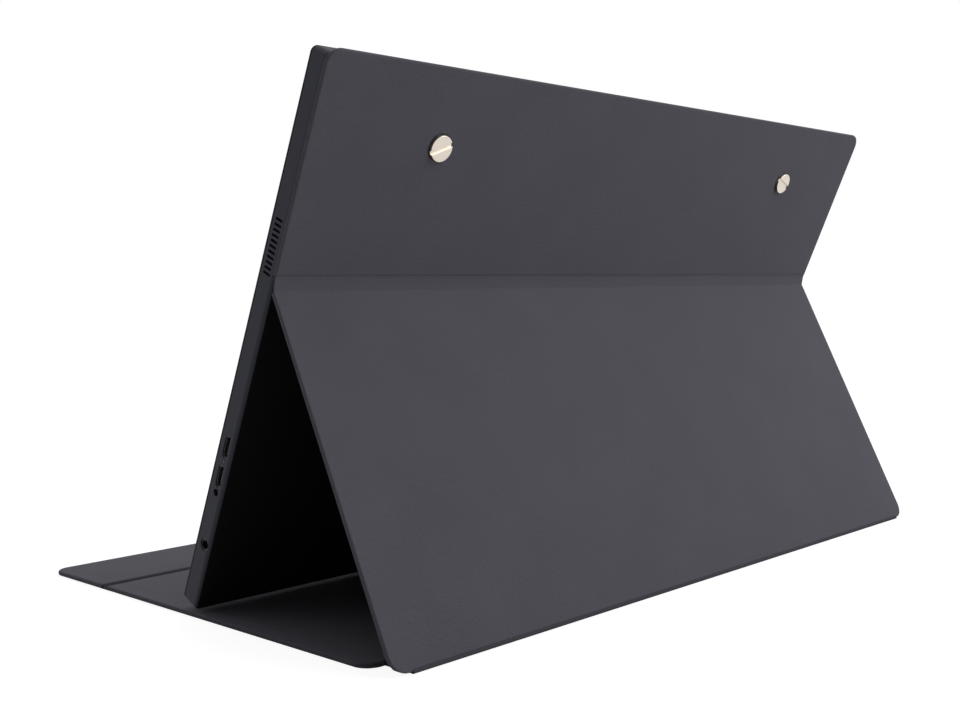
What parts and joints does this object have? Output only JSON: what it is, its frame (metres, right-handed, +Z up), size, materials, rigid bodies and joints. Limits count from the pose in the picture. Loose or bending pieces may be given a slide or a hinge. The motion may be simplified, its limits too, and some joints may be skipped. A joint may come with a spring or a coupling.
{
  "type": "portable monitor with cover",
  "caption": "Slim portable monitor in a folding fabric cover that stands it up like an easel, with a base panel and front flap on the table.",
  "frame": {"origin": "on the table under the middle of the whole object's bounding box", "axes": "+X across the screen towards the side with the sockets, +Y from the screen towards the leg behind it, +Z up"},
  "size_m": [0.355, 0.231, 0.2028],
  "materials": {
    "cover_cloth": "charcoal woven cloth with a fine weave, matte",
    "cover_lining": "dark brushed lining, matte",
    "cover_board": "grey bookbinding board",
    "hinge_cloth": "dark cloth strip, matte",
    "case_plastic": "dark grey fine-textured plastic",
    "bezel_plastic": "black fine-textured plastic",
    "foam": "black foam",
    "screen": "dark matte screen glass, switched off",
    "white_film": "white optical film",
    "clear_guide": "clear light guide",
    "led_strip": "yellow phosphor light strip",
    "steel": "plain steel sheet",
    "nickel": "nickel-plated, lightly brushed",
    "black_steel": "black oxide",
    "brass": "plain brass",
    "circuit_board": "green solder mask",
    "chip": "black moulded chip",
    "ribbon": "flat cable film",
    "flex_film": "amber flex film",
    "socket_plastic": "black socket moulding",
    "light_pipe": "clear light pipe",
    "speaker_box": "black box",
    "speaker_cone": "grey diaphragm",
    "magnet": "nickel-plated magnet",
    "mesh": "black speaker cloth",
    "switch_white": "white switch body"
  },
  "bodies": {
    "base": {"base_skin": "cover_cloth", "base_board": "cover_board", "base_lining": "cover_lining", "base_magnets": "magnet", "spine_strip": "hinge_cloth"},
    "leg": {"leg_skin": "cover_cloth", "leg_board": "cover_board", "leg_lining": "cover_lining"},
    "monitor": {"rear_shell": "case_plastic", "front_bezel": "bezel_plastic", "bezel_gasket": "foam", "lcd_cell": "screen", "optical_films": "white_film", "light_guide": "clear_guide", "reflector_sheet": "white_film", "backlight_bar": "led_strip", "panel_tray": "steel", "driver_board": "circuit_board", "driver_flexes": "flex_film", "video_cable": "ribbon", "controller_board": "circuit_board", "controller_chips": "chip", "board_screws": "steel", "usb_c_shells": "steel", "usb_c_tongues": "socket_plastic", "dc_jack": "socket_plastic", "audio_jack": "socket_plastic", "status_light": "light_pipe", "speaker_boxes": "speaker_box", "speaker_cones": "speaker_cone", "speaker_magnets": "magnet", "speaker_mesh": "mesh", "rocker_pin": "steel", "key_board": "circuit_board", "key_switches": "switch_white", "key_cable": "ribbon", "screw_inserts": "brass", "cover_screws": "nickel", "screw_washers": "black_steel", "chin_steel_strip": "steel", "upper_skin": "cover_cloth", "upper_board": "cover_board", "upper_lining": "cover_lining"},
    "flap": {"flap_skin": "cover_cloth", "flap_board": "cover_board", "flap_lining": "cover_lining", "flap_magnets": "magnet"},
    "power_key": {"power_key": "case_plastic"},
    "menu_rocker": {"menu_rocker": "case_plastic"}
  },
  "joints": [
    {"name": "foot_fold", "type": "hinge", "parent": "base", "child": "leg", "pos_m": [0, 0.11515, 0.0004], "axis": [1, 0, 0], "range_deg": [-25, 4.2]},
    {"name": "stand_fold", "type": "hinge", "parent": "leg", "child": "monitor", "pos_m": [0, 0.05706, 0.12387], "axis": [1, 0, 0], "range_deg": [-8, 49.3]},
    {"name": "flap_fold", "type": "hinge", "parent": "base", "child": "flap", "pos_m": [0, -0.06885, 0.0004], "axis": [-1, 0, 0], "range_deg": [0, 95]},
    {"name": "power_press", "type": "slide", "parent": "monitor", "child": "power_key", "axis": [1, 0, 0], "range_m": [0, 0.0003], "stiffness_N_per_m": 1200},
    {"name": "rocker_tilt", "type": "hinge", "parent": "monitor", "child": "menu_rocker", "pos_m": [-0.17315, 0.02423, 0.06566], "axis": [0, -0.9085, 0.4179], "range_deg": [-1.3, 1.3], "stiffness_Nm_per_rad": 0.05}
  ],
  "couplings": [
    {"joint": "foot_fold", "follows": "stand_fold", "ratio": -0.50498}
  ]
}
